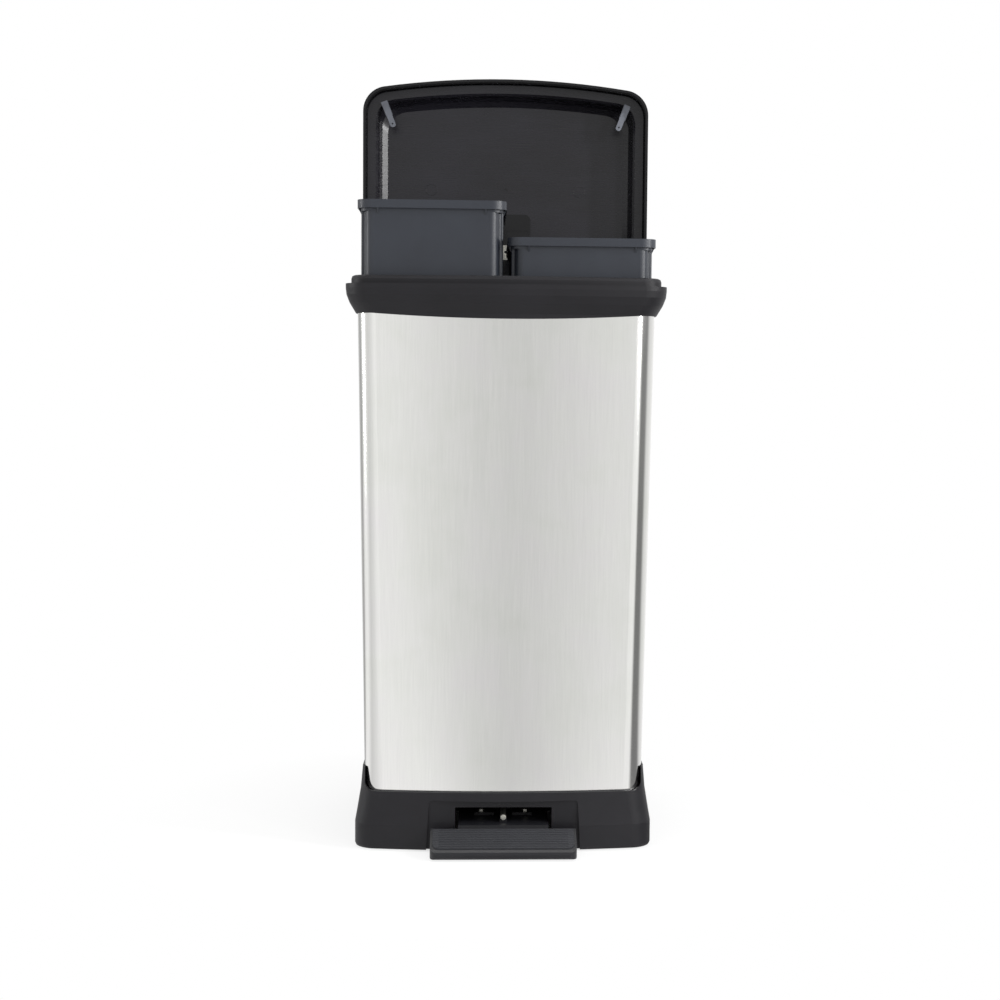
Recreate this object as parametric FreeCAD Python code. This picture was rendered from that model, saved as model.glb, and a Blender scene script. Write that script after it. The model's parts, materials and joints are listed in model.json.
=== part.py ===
"""Double recycling pedal bin: two lift-out buckets in one body, lid worked by a pedal.

Millimetres, +Z up, the front faces -Y, the floor is z = 0 and x = 0 is the middle of the width.
The rest pose is the open one: lid upright, pedal pressed, both buckets part of the way out.
"""
import FreeCAD
import Part
import math
import os

Vec = FreeCAD.Vector

# ---- driving dimensions ----
COLLAR_HALF = 174.0        # thin outer edge of the collar, the widest part of the bin
COLLAR_FRONT = -152.5
COLLAR_BACK = 152.5
COLLAR_CORNER = 28.5
LEDGE_Z = 612.0            # ledge that the bucket rims sit on
COLLAR_SIDE_LOW = LEDGE_Z - 26.5         # bottom edge at the corners, sides and back
COLLAR_MID_LOW = COLLAR_SIDE_LOW - 5.1   # bottom edge at the middle of the front
STEP_Z = LEDGE_Z + 5.0     # step that the lid closes onto
WEB = 3.0
LIP_TOP = STEP_Z + 9.0
LIP_INSET = 6.0
LIP = 3.0

BODY_HALF_TOP = COLLAR_HALF - 12.2
BODY_TAPER = 8.5           # the body is narrower by this on every side where it enters the base
BODY_HALF_LOW = BODY_HALF_TOP - BODY_TAPER
BODY_FRONT_TOP = COLLAR_FRONT + 12.7
BODY_LOW = 59.3
BODY_TOP = LEDGE_Z - 12.0
BODY_SHEET = 0.7
BODY_CORNER = 24.0
BODY_FIT = 0.4             # clearance between the body and the base or collar

FLOOR_GAP = 1.5            # base rim above the floor, the feet fill it
BASE_HALF = BODY_HALF_LOW + 10.3         # half width of the foot band
BASE_BAND_TOP = 28.0       # the flank slants in above this height
BASE_FRONT_TOP = 64.0      # top edge of the base at the front
BASE_SIDE_TOP = 88.0       # top edge of the base at the sides and back
WINDOW_HALF = BODY_HALF_LOW - 0.9        # half width of the lower part at the front
BASE_CORNER = 25.0
BASE_WALL = 2.8
PLATE_TOP = 59.0           # inner plate that carries the body and the buckets
PLATE = 3.0
BASE_FRONT = BODY_FRONT_TOP - 1.9
BASE_BACK = -BASE_FRONT
FOOT_X = 128.0             # the four feet stand evenly round the origin
FOOT_Y = 102.0

HINGE_Y = 120.5
HINGE_Z = LEDGE_Z - 6.0
HINGE_X = 112.0            # middle of each hinge lug
LUG = 12.0
LUG_R = 8.5
LUG_PLAY = 1.5
HINGE_PIN_R = 3.0
BORE_PLAY = 0.05           # running clearance on the radius

RIM_Z = STEP_Z + 0.6       # lid rim plane when closed
LID_HALF = COLLAR_HALF - 0.6
LID_FRONT = COLLAR_FRONT + 0.6
LID_BACK = HINGE_Y - 12.0
LID_TOP = RIM_Z + 57.4     # crown of the closed lid
LID_CORNER = 30.0
LID_WALL = 2.8
LINER_PANEL_Z = LID_TOP - 13.4
LINER_WALL = 2.2
TAB_HALF = 31.0            # half width of the tab on the liner
LID_OPEN = 90.0            # degrees from closed to the open rest pose

LEVER_R = 18.0             # radius of the lid lever's pin about the hinge
LEVER_PIN_R = 2.5
ROD_Y = 106.0
ROD_R = 3.0
SLOT_PLAY = 0.75           # the head's slot clears the pin by this above and below
GUIDE_LOW = 84.0           # undersides of the push rod's two guides
GUIDE_HIGH = LEDGE_Z - 64.0

PEDAL_PIVOT_Y = -44.5
PEDAL_PIVOT_Z = 28.5
PEDAL_PIN_R = 3.0
LEVER_Z = 36.0             # axis of the lever rod, pedal pressed
LEVER_ROD_R = 3.0
FOOT_R = 6.0
FOOT_GAP = 0.35
SLOT_HALF = 52.9           # slot in the recess's back wall
SLOT_TOP = 47.6
RECESS_HALF_TOP = 81.5
RECESS_HALF_LOW = RECESS_HALF_TOP + 3.0
RECESS_TOP = 55.4
RECESS_Y = BASE_FRONT + 8.7
LEVER_FRONT = RECESS_Y + BASE_WALL - 1.2   # the rod's end swings up behind the recess's back wall
NECK_HALF = SLOT_HALF - 3.7
SADDLE_HALF = 4.0          # rib on the neck that the lever rod lies in
SADDLE_TOP = 34.0
NECK_TOP = 30.6
TREAD_HALF = RECESS_HALF_TOP - 2.3

BUCKET_MIDDLE = 4.4        # each bucket's wall stands this far from the middle of the bin
BUCKET_HALF = (BODY_HALF_TOP - 3.6 - BUCKET_MIDDLE) / 2   # wall, half width
BUCKET_X = BUCKET_HALF + BUCKET_MIDDLE   # middle of each bucket
BUCKET_FRONT = COLLAR_FRONT + 34.0
BUCKET_BACK = 94.0
BUCKET_CORNER = 12.0
BUCKET_HEIGHT = LEDGE_Z - PLATE_TOP + 2.0
BUCKET_WALL = 2.0
BUCKET_STRAIGHT = 120.0    # upper part without draft
BUCKET_DRAFT = 7.0         # the wall moves in this much from there to the bottom
STEP_WIDTH = 5.0           # steps beside the front panel
STEP_DEPTH = 14.5
PANEL_CORNER = 9.0
RIM_OUT = 3.7
RIM_SKIRT = 9.0
SEATED_TOP = LEDGE_Z + RIM_SKIRT + 0.3
STEP_TOP = SEATED_TOP - 12.0
LEFT_LIFT = 86.0
RIGHT_LIFT = 47.5

MOUTH_PLAY = 0.7           # between the buckets and the collar's mouth
MOUTH_HALF = BUCKET_X + BUCKET_HALF + MOUTH_PLAY
MOUTH_FRONT = BUCKET_FRONT - MOUTH_PLAY
MOUTH_BACK = BUCKET_BACK + MOUTH_PLAY
TRAY_BACK = BUCKET_BACK + 5.5

BOW = 1000.0               # radius of the bowed fronts, seen from above


# ---- helpers ----
def outline(z, half, front, back, corner, back_corner=None):
    """Closed wire at height z: bowed front, straight sides and back, round corners."""
    back_corner = corner if back_corner is None else back_corner
    bow_c = Vec(0, front + BOW, 0)
    corner_x = half - corner
    corner_c = Vec(corner_x, bow_c.y - math.sqrt((BOW - corner) ** 2 - corner_x ** 2), 0)
    front_t = bow_c + (corner_c - bow_c).normalize() * BOW
    side_t = Vec(half, corner_c.y, 0)
    corner_m = corner_c + ((front_t + side_t) / 2 - corner_c).normalize() * corner

    back_c = Vec(half - back_corner, back - back_corner, 0)
    back_side = Vec(half, back_c.y, 0)
    back_t = Vec(back_c.x, back, 0)
    back_m = back_c + Vec(1, 1, 0).normalize() * back_corner

    def at(p, sign=1):
        return Vec(sign * p.x, p.y, z)

    def arc(a, b, c):
        return Part.Arc(a, b, c).toShape()

    edges = [
        arc(at(front_t, -1), Vec(0, front, z), at(front_t)),
        arc(at(front_t), at(corner_m), at(side_t)),
        Part.makeLine(at(side_t), at(back_side)),
        arc(at(back_side), at(back_m), at(back_t)),
        Part.makeLine(at(back_t), at(back_t, -1)),
        arc(at(back_t, -1), at(back_m, -1), at(back_side, -1)),
        Part.makeLine(at(back_side, -1), at(side_t, -1)),
        arc(at(side_t, -1), at(corner_m, -1), at(front_t, -1)),
    ]
    return Part.Wire(edges)


def rounded_box(x0, x1, y0, y1, z0, z1, r):
    """Upright box with round vertical edges."""
    box = Part.makeBox(x1 - x0, y1 - y0, z1 - z0, Vec(x0, y0, z0))
    upright = [e for e in box.Edges if abs(e.Vertexes[0].Z - e.Vertexes[1].Z) > 1e-6]
    return box.makeFillet(r, upright)


def rounded_wire(z, cx, half, y0, y1, r):
    """Closed wire of a plain rounded rectangle at height z."""
    face = rounded_box(cx - half, cx + half, y0, y1, z, z + 1.0, r)
    low = [f for f in face.Faces if abs(f.BoundBox.ZMax - z) < 1e-6][0]
    return low.OuterWire


def loft(wires):
    return Part.makeLoft(wires, True, True)


def prism(wire, height):
    """Upright solid over a level wire."""
    return Part.Face(wire).extrude(Vec(0, 0, height))


def block(x0, x1, y0, y1, z0, z1):
    return Part.makeBox(x1 - x0, y1 - y0, z1 - z0, Vec(x0, y0, z0))


def plate_yz(points, x0, x1):
    """Polygon in the YZ plane, pushed out along X."""
    loop = [Vec(x0, y, z) for y, z in points]
    face = Part.Face(Part.makePolygon(loop + loop[:1]))
    return face.extrude(Vec(x1 - x0, 0, 0))


def plate_xz(points, y0, y1):
    """Polygon in the XZ plane, pushed out along Y."""
    loop = [Vec(x, y0, z) for x, z in points]
    face = Part.Face(Part.makePolygon(loop + loop[:1]))
    return face.extrude(Vec(0, y1 - y0, 0))


def bar_x(y, z, r, x0, x1):
    return Part.makeCylinder(r, x1 - x0, Vec(x0, y, z), Vec(1, 0, 0))


def bar_y(x, z, r, y0, y1):
    return Part.makeCylinder(r, y1 - y0, Vec(x, y0, z), Vec(0, 1, 0))


def bar_z(x, y, r, z0, z1):
    return Part.makeCylinder(r, z1 - z0, Vec(x, y, z0), Vec(0, 0, 1))


def mirrored(shape):
    return shape.mirror(Vec(0, 0, 0), Vec(1, 0, 0))


def fused(first, *rest):
    return first.fuse(list(rest)).removeSplitter()


# ---- outlines that several pieces share ----
def body_half(z):
    share = (z - BODY_LOW) / (BODY_TOP - BODY_LOW)
    return BODY_HALF_LOW + share * (BODY_HALF_TOP - BODY_HALF_LOW)


def body_wire(z, out=0.0):
    """The body's outside at height z, moved out by out."""
    inward = BODY_HALF_TOP - body_half(z)
    front = BODY_FRONT_TOP + inward - out
    return outline(z, body_half(z) + out, front, -front, BODY_CORNER + out)


def collar_wire(z, inset, corner=COLLAR_CORNER):
    """The collar's outside, inset from its thin edge."""
    return outline(z, COLLAR_HALF - inset, COLLAR_FRONT + inset, COLLAR_BACK - inset, corner)


def lid_wire(z, inset, back_inset=None, corner=LID_CORNER):
    """The lid's outside when closed, inset from its rim."""
    back_inset = 0.5 * inset if back_inset is None else back_inset
    return outline(z, LID_HALF - inset, LID_FRONT + inset, LID_BACK - back_inset, corner)


# ---- base ----
def base_wire(z, inset):
    return outline(z, BASE_HALF - inset, BASE_FRONT + inset, BASE_BACK - inset, BASE_CORNER)


def base_profile():
    """(height, inset from the foot band) up the outside of the base."""
    return [(FLOOR_GAP, 1.0), (FLOOR_GAP + 2.5, 0.0), (BASE_BAND_TOP, 0.0), (40.0, 2.1),
            (BASE_FRONT_TOP, 6.0), (BASE_SIDE_TOP, 8.0)]


def recess_cut():
    """Pedal recess: a shallow pocket with leaning sides and a slightly bowed top."""
    sag = 0.9
    p = [Vec(-RECESS_HALF_LOW, -170, -5), Vec(-RECESS_HALF_TOP, -170, RECESS_TOP),
         Vec(0, -170, RECESS_TOP - sag), Vec(RECESS_HALF_TOP, -170, RECESS_TOP),
         Vec(RECESS_HALF_LOW, -170, -5)]
    edges = [Part.makeLine(p[0], p[1]), Part.Arc(p[1], p[2], p[3]).toShape(),
             Part.makeLine(p[3], p[4]), Part.makeLine(p[4], p[0])]
    pocket = Part.Face(Part.Wire(edges)).extrude(Vec(0, RECESS_Y + 170, 0))
    top = [e for e in pocket.Edges if e.BoundBox.ZMin > RECESS_TOP - 1 and e.BoundBox.XLength < 1e-6]
    return pocket.makeFillet(4.0, top)


def front_window():
    """Room over the base's front wall, which stands lower than its sides."""
    opening = block(-WINDOW_HALF, WINDOW_HALF, -160, -60, BASE_FRONT_TOP, BASE_SIDE_TOP + 10)
    low = [e for e in opening.Edges
           if e.BoundBox.ZMax < BASE_FRONT_TOP + 1e-6 and e.BoundBox.XMax - e.BoundBox.XMin < 1e-6]
    return opening.makeFillet(9.0, low)


def make_base():
    outer = loft([base_wire(z, i) for z, i in base_profile()])
    under = [(FLOOR_GAP - 1, BASE_WALL), (PLATE_TOP - PLATE, 4.9 + BASE_WALL)]
    shape = outer.cut(loft([base_wire(z, i) for z, i in under]))
    well = prism(body_wire(BASE_SIDE_TOP, BODY_FIT), BASE_SIDE_TOP + 1 - PLATE_TOP)
    well.translate(Vec(0, 0, PLATE_TOP - BASE_SIDE_TOP))
    shape = shape.cut(well).cut(front_window())
    pan_half = RECESS_HALF_LOW + 3.5
    pan = block(-pan_half, pan_half, BASE_FRONT + 3.1, RECESS_Y + BASE_WALL, FLOOR_GAP,
                PLATE_TOP - 1).common(outer)
    slot = block(-SLOT_HALF, SLOT_HALF, RECESS_Y - 17, RECESS_Y + 13, FLOOR_GAP - 1, SLOT_TOP)
    shape = shape.fuse(pan).cut(recess_cut()).cut(slot)

    extras = []
    for x in (-60.5, 56.5):
        cheek = plate_yz([(-56, 57), (-50, 23), (-39, 23), (-33, 57)], x, x + 4.0)
        extras.append(cheek)
    for x, y in foot_places():
        extras.append(block(x - 12, x + 12, y - 12, y + 12, FLOOR_GAP, PLATE_TOP - 1))
    for x in (-110.0, -30.0, 30.0, 110.0):
        low = 44.0 if abs(x) > 90 else 50.0
        extras.append(block(x - 1, x + 1, -20, BASE_BACK - 5.7, low, PLATE_TOP - 1))
    side = BASE_HALF - 11.6
    for y in (20.0, 80.0):
        extras.append(block(-side, -12, y - 1, y + 1, 46, PLATE_TOP - 1))
        extras.append(block(12, side, y - 1, y + 1, 46, PLATE_TOP - 1))
    shape = fused(shape, *extras)
    shape = shape.cut(bar_x(PEDAL_PIVOT_Y, PEDAL_PIVOT_Z, PEDAL_PIN_R + BORE_PLAY, -70, 70))
    return shape.cut(block(-8, 8, ROD_Y - 9, ROD_Y + 8, 50, 62))


def foot_places():
    return [(sx * FOOT_X, sy * FOOT_Y) for sx in (-1, 1) for sy in (-1, 1)]


def make_feet():
    return Part.makeCompound([bar_z(x, y, 11.0, 0.0, FLOOR_GAP - 0.02) for x, y in foot_places()])


# ---- body ----
def make_body():
    outer = loft([body_wire(BODY_LOW), body_wire(BODY_TOP)])
    inner = loft([body_wire(BODY_LOW - 1, -BODY_SHEET), body_wire(BODY_TOP + 1, -BODY_SHEET)])
    return outer.cut(inner)


# ---- collar ----
def collar_profile():
    """(height, inset from the thin edge) up the outside of the collar."""
    return [(COLLAR_MID_LOW - 1, 11.1), (COLLAR_SIDE_LOW, 10.3), (LEDGE_Z - 15.5, 4.0),
            (LEDGE_Z - 7.0, 0.8), (LEDGE_Z, 0.0), (STEP_Z, 0.0)]


def bottom_trim():
    """Below this the collar is cut away: level at sides and back, bowed lower at the front."""
    y0 = COLLAR_FRONT - 17.5
    ends = COLLAR_HALF - 28.0
    far = COLLAR_HALF + 16.0
    low = COLLAR_MID_LOW - 20.4
    p = [Vec(-far, y0, low), Vec(-far, y0, COLLAR_SIDE_LOW), Vec(-ends, y0, COLLAR_SIDE_LOW),
         Vec(0, y0, COLLAR_MID_LOW), Vec(ends, y0, COLLAR_SIDE_LOW), Vec(far, y0, COLLAR_SIDE_LOW),
         Vec(far, y0, low)]
    edges = [Part.makeLine(p[0], p[1]), Part.makeLine(p[1], p[2]), Part.Arc(p[2], p[3], p[4]).toShape(),
             Part.makeLine(p[4], p[5]), Part.makeLine(p[5], p[6]), Part.makeLine(p[6], p[0])]
    front = Part.Face(Part.Wire(edges)).extrude(Vec(0, 90, 0))
    return front.fuse(block(-far, far, y0 + 90, far, low, COLLAR_SIDE_LOW))


def mouth_wire(z, out=0.0):
    return rounded_wire(z, 0.0, MOUTH_HALF + out, MOUTH_FRONT - out, MOUTH_BACK + out, 13.0 + out)


def lip_wire(z, inset):
    return outline(z, COLLAR_HALF - inset, COLLAR_FRONT + inset, TRAY_BACK + LIP - (inset - LIP_INSET),
                   COLLAR_CORNER - LIP_INSET, back_corner=22.0)


def lip_profile():
    """(height, inset) up the outside of the lip, whose top is rolled inwards."""
    return [(STEP_Z - 1, LIP_INSET), (LIP_TOP - 4, LIP_INSET), (LIP_TOP - 1.2, LIP_INSET + 0.9),
            (LIP_TOP, LIP_INSET + LIP)]


def ring_z(maker, z0, z1, out, inn):
    """Upright band between two outlines of the same kind."""
    return prism(maker(z0, out), z1 - z0).cut(prism(maker(z0 - 1, inn), z1 - z0 + 2))


def gusset_places():
    """(side of the bucket, place along it) of the ribs under the bucket rims."""
    across = BUCKET_HALF - 18.9
    along = (BUCKET_BACK - BUCKET_FRONT) / 2 - 22.25
    return [(0, -across), (0, across), (90, -along), (90, along), (270, -along), (270, along)]


def gusset_notches():
    """Notches in the ledge that let the ribs pass."""
    notches = []
    low = LEDGE_Z - 10.0
    mid_y = (BUCKET_FRONT + BUCKET_BACK) / 2
    for cx in (-BUCKET_X, BUCKET_X):
        for turn, along in gusset_places():
            if turn == 0:
                y = BUCKET_FRONT - 4.2
                notches.append(block(cx + along - 1.8, cx + along + 1.8, y, y + 5.2, low, LEDGE_Z + 1))
            else:
                x = cx + BUCKET_HALF - 1 if turn == 90 else cx - BUCKET_HALF - 4.2
                y = mid_y + along
                notches.append(block(x, x + 5.2, y - 1.8, y + 1.8, low, LEDGE_Z + 1))
    return notches


def make_collar():
    outer = loft([collar_wire(z, i) for z, i in collar_profile()])
    web_low = LEDGE_Z - WEB
    skirt_hollow = prism(collar_wire(COLLAR_MID_LOW - 5, 11.6, COLLAR_CORNER - 2.5), 21.5)
    shape = outer.cut(skirt_hollow)
    shape = shape.cut(loft([collar_wire(z, i, COLLAR_CORNER - 2.5)
                            for z, i in [(LEDGE_Z - 16.5, 8.5), (web_low, 3.0)]]))
    shape = shape.cut(bottom_trim())
    lip = loft([lip_wire(z, i) for z, i in lip_profile()])
    locator = prism(body_wire(web_low - 20, -BODY_SHEET - BODY_FIT), 21)
    locator = locator.cut(prism(body_wire(web_low - 20, -BODY_SHEET - 2.3), 22))
    throat = ring_z(mouth_wire, web_low - 28, web_low + 1, 1.1, 0.0)
    body_back = -BODY_FRONT_TOP
    housings = [block(sx * HINGE_X - 15, sx * HINGE_X + 15, 103.5, body_back - 2.3, LEDGE_Z - 17, web_low + 1)
                for sx in (-1, 1)]
    bridge = block(-22, 22, 100.0, body_back - 1.5, LEDGE_Z - 15, web_low + 1)
    deck_half = COLLAR_HALF - 24.0
    deck_hollow = block(-deck_half, deck_half, 106, COLLAR_BACK - 6.5, web_low - 0.5, STEP_Z - 3)
    shape = shape.cut(deck_hollow)
    tops = [block(sx * HINGE_X - 15, sx * HINGE_X + 15, 103.5, COLLAR_BACK - 8.5, web_low, STEP_Z - 1)
            for sx in (-1, 1)]
    tops.append(block(-22, 22, 103.5, COLLAR_BACK - 11.5, web_low, STEP_Z - 1))
    shape = fused(shape, lip, locator, throat, bridge, *housings, *tops)

    tray = prism(lip_wire(LEDGE_Z, LIP_INSET + LIP), 20)
    mouth = prism(mouth_wire(COLLAR_MID_LOW - 20.4), 80)
    shape = shape.cut(tray.fuse(mouth))
    for sx in (-1, 1):
        x = sx * HINGE_X
        half = LUG / 2 + LUG_PLAY
        pocket = block(x - half, x + half, 103.0, COLLAR_BACK - 11.0, HINGE_Z - LUG_R - 1.2, LIP_TOP + 1)
        shape = shape.cut(pocket)
    shape = shape.cut(block(-11, 11, BUCKET_BACK + 2.0, body_back - 3.3, LEDGE_Z - 22, LIP_TOP + 1))
    for notch in gusset_notches():
        shape = shape.cut(notch)
    reach = HINGE_X + 28.0
    return shape.cut(bar_x(HINGE_Y, HINGE_Z, HINGE_PIN_R + BORE_PLAY, -reach, reach).cut(
        bar_x(HINGE_Y, HINGE_Z, 20.0, 50.0 - reach, reach - 50.0)))


def make_hinge_pins():
    return Part.makeCompound([bar_x(HINGE_Y, HINGE_Z, HINGE_PIN_R, sx * HINGE_X - 14, sx * HINGE_X + 14)
                              for sx in (-1, 1)])


# ---- lid, drawn closed and turned open at the end ----
def lid_profile():
    """(height, inset) up the outside of the closed lid."""
    return [(RIM_Z, 0.4), (RIM_Z + 18.4, 0.6), (LID_TOP - 24.5, 5.0), (LID_TOP - 13.5, 14.0),
            (LID_TOP - 5.5, 29.0), (LID_TOP, 58.0)]


def liner_profile():
    """(height, inset) up the inside of the lid liner: flange, step, wall, cove, panel."""
    return [(RIM_Z + 19.4, 5.0), (RIM_Z + 20.0, 14.5), (RIM_Z + 22.6, 17.0), (LINER_PANEL_Z - 11.6, 18.6),
            (LINER_PANEL_Z - 4.6, 21.5), (LINER_PANEL_Z, 28.0)]


def opened(shape):
    """Turn a piece of the lid from its closed to its open place."""
    shape = shape.copy()
    shape.rotate(Vec(0, HINGE_Y, HINGE_Z), Vec(1, 0, 0), -LID_OPEN)
    return shape


def hinge_lug(x):
    """Lug from the lid's back wall down to the hinge pin."""
    tip = bar_x(HINGE_Y, HINGE_Z, LUG_R, x - LUG / 2, x + LUG / 2)
    neck = plate_yz([(HINGE_Y - 15.5, HINGE_Z + 13.0), (HINGE_Y - 6.5, HINGE_Z - 5.5),
                     (HINGE_Y + 6.0, HINGE_Z + 6.0), (HINGE_Y - 11.0, HINGE_Z + 19.0),
                     (HINGE_Y - 14.0, HINGE_Z + 33.0), (HINGE_Y - 15.5, HINGE_Z + 33.0)],
                    x - LUG / 2, x + LUG / 2)
    return tip.fuse(neck)


def make_lid_shell():
    outer = loft([lid_wire(z, i) for z, i in lid_profile()])
    cavity = [lid_wire(RIM_Z - 1, LID_WALL + 0.4, LID_WALL + 0.4, LID_CORNER - 2)]
    for z, i in lid_profile()[1:-1]:
        cavity.append(lid_wire(z - 0.35 * LID_WALL - 0.03 * i, i + LID_WALL, 0.5 * i + LID_WALL,
                               LID_CORNER - 2))
    shape = outer.cut(loft(cavity))
    shape = fused(shape, hinge_lug(-HINGE_X), hinge_lug(HINGE_X))
    notch = block(-9, 9, LID_BACK - 6, LID_BACK + 3, RIM_Z - 1, RIM_Z + 8)
    reach = HINGE_X + 28.0
    return shape.cut(notch).cut(bar_x(HINGE_Y, HINGE_Z, HINGE_PIN_R + BORE_PLAY, -reach, reach))


def make_lid_liner():
    inner = liner_profile()
    outer = [(inner[0][0], inner[0][1] - 0.5), (RIM_Z + 25.4, 12.5), (LINER_PANEL_Z - 5.6, 16.4),
             (LINER_PANEL_Z + LINER_WALL, 28.5)]
    solid = loft([lid_wire(z, i, 0.4 * i + 2.2, LID_CORNER - 3) for z, i in outer])
    hollow = loft([lid_wire(z, i, 0.4 * i + 3.8, LID_CORNER - 4)
                   for z, i in [(inner[0][0] - 1, inner[0][1])] + inner])
    shape = solid.cut(hollow)
    back = LID_BACK + 3.5
    lug_room = [block(sx * HINGE_X - 8, sx * HINGE_X + 8, LID_BACK - 10.5, back, RIM_Z + 12.4, RIM_Z + 30.4)
                for sx in (-1, 1)]
    lug_room.append(block(-14, 14, HINGE_Y - 32, back, RIM_Z + 12.4, LINER_PANEL_Z - 1.1))
    for room in lug_room:
        shape = shape.cut(room)
    gate = bar_z(0, HINGE_Y - 142.5, 2.6, LINER_PANEL_Z - 0.1, LINER_PANEL_Z + 0.9)
    return shape.cut(gate)


def make_lid_pegs():
    """Flat tongues in the front corners of the lid, pointing towards its middle."""
    root = Vec(LID_HALF - 25.9, LID_FRONT + 30.4, 0)
    tip = Vec(LID_HALF - 36.6, LID_FRONT + 57.4, 0)
    along = (tip - root)
    length = along.Length
    u = along.normalize()
    turn = math.degrees(math.atan2(u.y, u.x))
    blade = rounded_box(0, length, -3.4, 3.4, 0, 3.2, 3.1)
    step = block(-4.0, length * 0.5, -4.1, 4.1, 0.8, 3.1)
    eye = Part.makeCylinder(1.0, 6.0, Vec(length - 4.2, 0, -1.0))
    peg = fused(blade, step).cut(eye)
    peg.rotate(Vec(0, 0, 0), Vec(0, 0, 1), turn)
    peg.translate(Vec(root.x, root.y, RIM_Z + 16.4))
    return Part.makeCompound([peg, mirrored(peg)])


def make_lid_bracket():
    """Black tab on the liner with cheeks that carry the lever."""
    p = LINER_PANEL_Z
    low, high = p - 5.3, p - 0.4
    plate = rounded_box(-TAB_HALF, TAB_HALF, HINGE_Y - 113, HINGE_Y - 29, low, high, 2.0)
    tip = rounded_box(-TAB_HALF, TAB_HALF, HINGE_Y - 113, HINGE_Y - 60, low, high, 7.0)
    back = block(-TAB_HALF, TAB_HALF, HINGE_Y - 66, HINGE_Y - 29, low, high)
    rib = block(2 - TAB_HALF, TAB_HALF - 2, HINGE_Y - 94.6, HINGE_Y - 93.0, p - 6.1, p - 4.6)
    plate = plate.common(tip.fuse(back)).fuse(rib)
    shroud = block(-13, 13, HINGE_Y - 56, HINGE_Y - 29, p - 22.1, p - 4.6)
    cheeks = [plate_yz([(HINGE_Y - 22.5, p - 5.6), (HINGE_Y - 16.4, p - 19.6), (HINGE_Y - 16.4, p - 31.6),
                        (HINGE_Y - 24, p - 22.1), (HINGE_Y - 40, p - 20.6), (HINGE_Y - 40, p - 5.6)], x, x + 3.0)
              for x in (-13.0, 10.0)]
    shape = fused(plate, shroud, *cheeks)
    channel = block(-7.4, 7.4, HINGE_Y - 57, HINGE_Y - 10, p - 18.1, p - 9.6)
    mouth = block(-7.4, 7.4, HINGE_Y - 36.5, HINGE_Y - 10, p - 25.6, p - 11.6)
    return shape.cut(channel.fuse(mouth))


def lever_pin_closed():
    """Where the lever's pin is when the lid is closed: 45 degrees below the hinge, in front of it."""
    reach = LEVER_R * math.sin(math.radians(45.0))
    return HINGE_Y - reach, HINGE_Z - reach


def make_lid_lever():
    """Steel fork: a strip along the tab, then two arms down to the pin."""
    py, pz = lever_pin_closed()
    p = LINER_PANEL_Z
    low, high = p - 13.1, p - 10.0
    strip = block(-2.6, 2.6, HINGE_Y - 74.5, HINGE_Y - 30, low, high)
    strip = strip.fuse(block(-2.6, 2.6, HINGE_Y - 74.5, HINGE_Y - 71.0, low, p - 5.6))
    eye = bar_z(0.6, HINGE_Y - 66.0, 1.7, p - 21.6, p - 1.6)
    yoke = block(-7.0, 7.0, HINGE_Y - 34, HINGE_Y - 22, low, high)
    arms = []
    for x in (-7.0, 4.2):
        arm = plate_yz([(HINGE_Y - 34, high), (HINGE_Y - 22, high), (HINGE_Y - 16.2, p - 20.6),
                        (HINGE_Y - 16.2, p - 35.6), (HINGE_Y - 13.2, p - 42.0), (py + 4.6, HINGE_Z - 2),
                        (py + 4.6, pz), (py - 4.6, pz), (py - 4.6, p - 41.6), (HINGE_Y - 23, p - 30.6)],
                       x, x + 2.8)
        arms.append(arm.fuse(bar_x(py, pz, 4.6, x, x + 2.8)))
    shape = fused(strip, yoke, *arms)
    return shape.cut(eye).cut(bar_x(py, pz, LEVER_PIN_R + 0.02, -10, 10))


def make_lever_pin():
    py, pz = lever_pin_closed()
    return bar_x(py, pz, LEVER_PIN_R, -8.4, 8.4)


# ---- push rod, drawn in the open rest pose ----
def lever_pin_open():
    reach = LEVER_R * math.sin(math.radians(45.0))
    return HINGE_Y - reach, HINGE_Z + reach


def make_push_rod():
    _, pz = lever_pin_open()
    foot_z = LEVER_Z + LEVER_ROD_R + FOOT_GAP + FOOT_R
    return bar_z(0, ROD_Y, ROD_R, foot_z + 2, pz - 12)


def make_rod_head():
    """Steel head with a level slot: the pin slides in it as it swings round the hinge."""
    py, pz = lever_pin_open()
    near = HINGE_Y - LEVER_R
    half = LEVER_PIN_R + SLOT_PLAY
    head = block(-3.4, 3.4, near - 6.0, py + 6.5, pz - 13.5, pz + half + 3.4)
    slot = block(-5, 5, near - half + 0.2, py + half - 0.2, pz - half, pz + half)
    socket = bar_z(0, ROD_Y, ROD_R + 0.02, pz - 14, pz - 11.9)
    return head.cut(slot).cut(socket)


def make_rod_foot():
    """Rounded foot that stands on the lever rod."""
    z = LEVER_Z + LEVER_ROD_R + FOOT_GAP + FOOT_R
    sole = bar_x(ROD_Y, z, FOOT_R, -6, 6).common(block(-6, 6, ROD_Y - 10, ROD_Y + 10, z - 10, z))
    stem = block(-6, 6, ROD_Y - FOOT_R, ROD_Y + FOOT_R, z, z + 9)
    return fused(sole, stem).cut(bar_z(0, ROD_Y, ROD_R + 0.02, z + 1.9, z + 12))


def make_rod_guide(z):
    """Block on the back of the body with a running bore for the push rod."""
    inward = BODY_HALF_TOP - body_half(z)
    wall = -BODY_FRONT_TOP - inward - BODY_SHEET - 0.5
    arm = block(-7.5, 7.5, ROD_Y - 7.0, wall, z, z + 8)
    pad = block(-9.7, 9.7, wall - 3.5, wall, z - 10, z + 18)
    return fused(arm, pad).cut(bar_z(0, ROD_Y, ROD_R + 0.08, z - 1, z + 9))


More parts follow.
